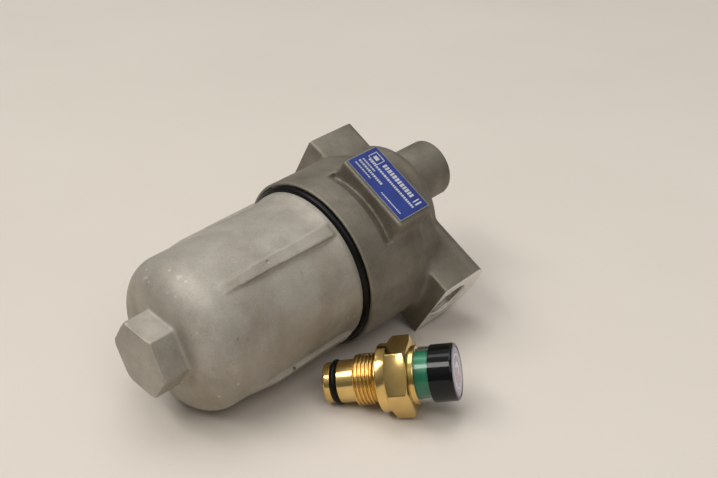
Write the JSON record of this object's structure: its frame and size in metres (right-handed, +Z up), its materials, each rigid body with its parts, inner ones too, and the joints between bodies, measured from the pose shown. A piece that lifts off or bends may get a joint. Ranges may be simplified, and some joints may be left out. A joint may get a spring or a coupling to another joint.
{
  "type": "in-line pressure filter",
  "caption": "Cast aluminium in-line filter with side ports and a screwed, ribbed bowl with a hexagon, lying on its side beside its loose brass clogging indicator with a black cap.",
  "frame": {"origin": "middle of the footprint, on the floor the filter and its indicator lie on", "axes": "+Z up; -X towards the bowl hexagon, +X towards the indicator boss; -Y towards the side where the outlet port and the loose indicator lie. The filter axis runs 4 degrees off -X, down towards the hexagon."},
  "size_m": [0.1726, 0.13, 0.0821],
  "materials": {
    "cast_head": "rough sand-cast, bead blasted",
    "cast_bowl": "bead-blasted die casting",
    "plate_blue": "satin print on aluminium",
    "plate_silver": "satin",
    "machined": "turned",
    "spring_steel": "drawn wire",
    "brass": "turned and lightly tarnished",
    "rubber_black": "moulded, slightly glossy",
    "backup_white": "turned",
    "media_paper": "pleated glass-fibre paper",
    "window_clear": "clear moulded",
    "signal_green": "moulded",
    "signal_red": "moulded",
    "cap_black": "polished moulding",
    "disc_print": "printed under clear varnish",
    "magnet_dark": "sintered"
  },
  "bodies": {
    "head": {"head_casting": "cast_head", "nameplate": "plate_blue", "spigot": "machined", "bypass_seat": "brass"},
    "bypass": {"bypass_poppet": "machined", "bypass_spring": "spring_steel"},
    "bowl_carrier": {"backup_ring": "backup_white"},
    "bowl": {"bowl": "cast_bowl", "bowl_o_ring": "rubber_black"},
    "element": {"element_top_cap": "machined", "element_bottom_cap": "machined", "element_media": "media_paper", "element_core": "machined", "element_o_ring": "rubber_black", "element_spring": "spring_steel"},
    "indicator": {"indicator_body": "brass", "indicator_o_ring": "rubber_black", "indicator_window": "window_clear", "indicator_cap": "cap_black", "indicator_disc": "disc_print", "indicator_red_post": "signal_red", "indicator_retainer": "brass"},
    "indicator_piston": {"indicator_piston": "machined", "indicator_lower_magnet": "magnet_dark", "indicator_piston_spring": "spring_steel"},
    "indicator_sleeve": {"indicator_sleeve": "signal_green", "indicator_upper_magnet": "magnet_dark", "indicator_sleeve_spring": "spring_steel"}
  },
  "joints": [
    {"name": "bowl_travel", "type": "slide", "parent": "head", "child": "bowl_carrier", "axis": [-0.9969, 0, -0.0791], "range_m": [0, 0.01102]},
    {"name": "bowl_turn", "type": "hinge", "parent": "bowl_carrier", "child": "bowl", "pos_m": [-0.00345, 0.01786, 0.03617], "axis": [-0.9969, 0, -0.0791], "range_deg": [0, 1980]},
    {"name": "element_slide", "type": "slide", "parent": "head", "child": "element", "axis": [-0.9969, 0, -0.0791], "range_m": [0, 0.003], "stiffness_N_per_m": 1500, "springref_m": -0.004, "deforming": ["element_spring"]},
    {"name": "bypass_lift", "type": "slide", "parent": "head", "child": "bypass", "axis": [0.9969, 0, 0.0791], "range_m": [0, 0.003], "stiffness_N_per_m": 600, "springref_m": -0.004, "deforming": ["bypass_spring"]},
    {"name": "indicator_lift", "type": "slide", "parent": "head", "child": "indicator", "axis": [0, -0.7071, 0.7071], "range_m": [0, 0.08]},
    {"name": "piston_stroke", "type": "slide", "parent": "indicator", "child": "indicator_piston", "axis": [-0.5353, 0.8118, -0.2333], "range_m": [0, 0.003], "stiffness_N_per_m": 200, "springref_m": -0.004, "deforming": ["indicator_piston_spring"]},
    {"name": "sleeve_rise", "type": "slide", "parent": "indicator", "child": "indicator_sleeve", "axis": [0.5353, -0.8118, 0.2333], "range_m": [0, 0.006], "deforming": ["indicator_sleeve_spring"]}
  ],
  "couplings": [
    {"joint": "bowl_travel", "follows": "bowl_turn", "m_per_rad": 0.00031831},
    {"joint": "sleeve_rise", "follows": "piston_stroke", "ratio": 2}
  ]
}
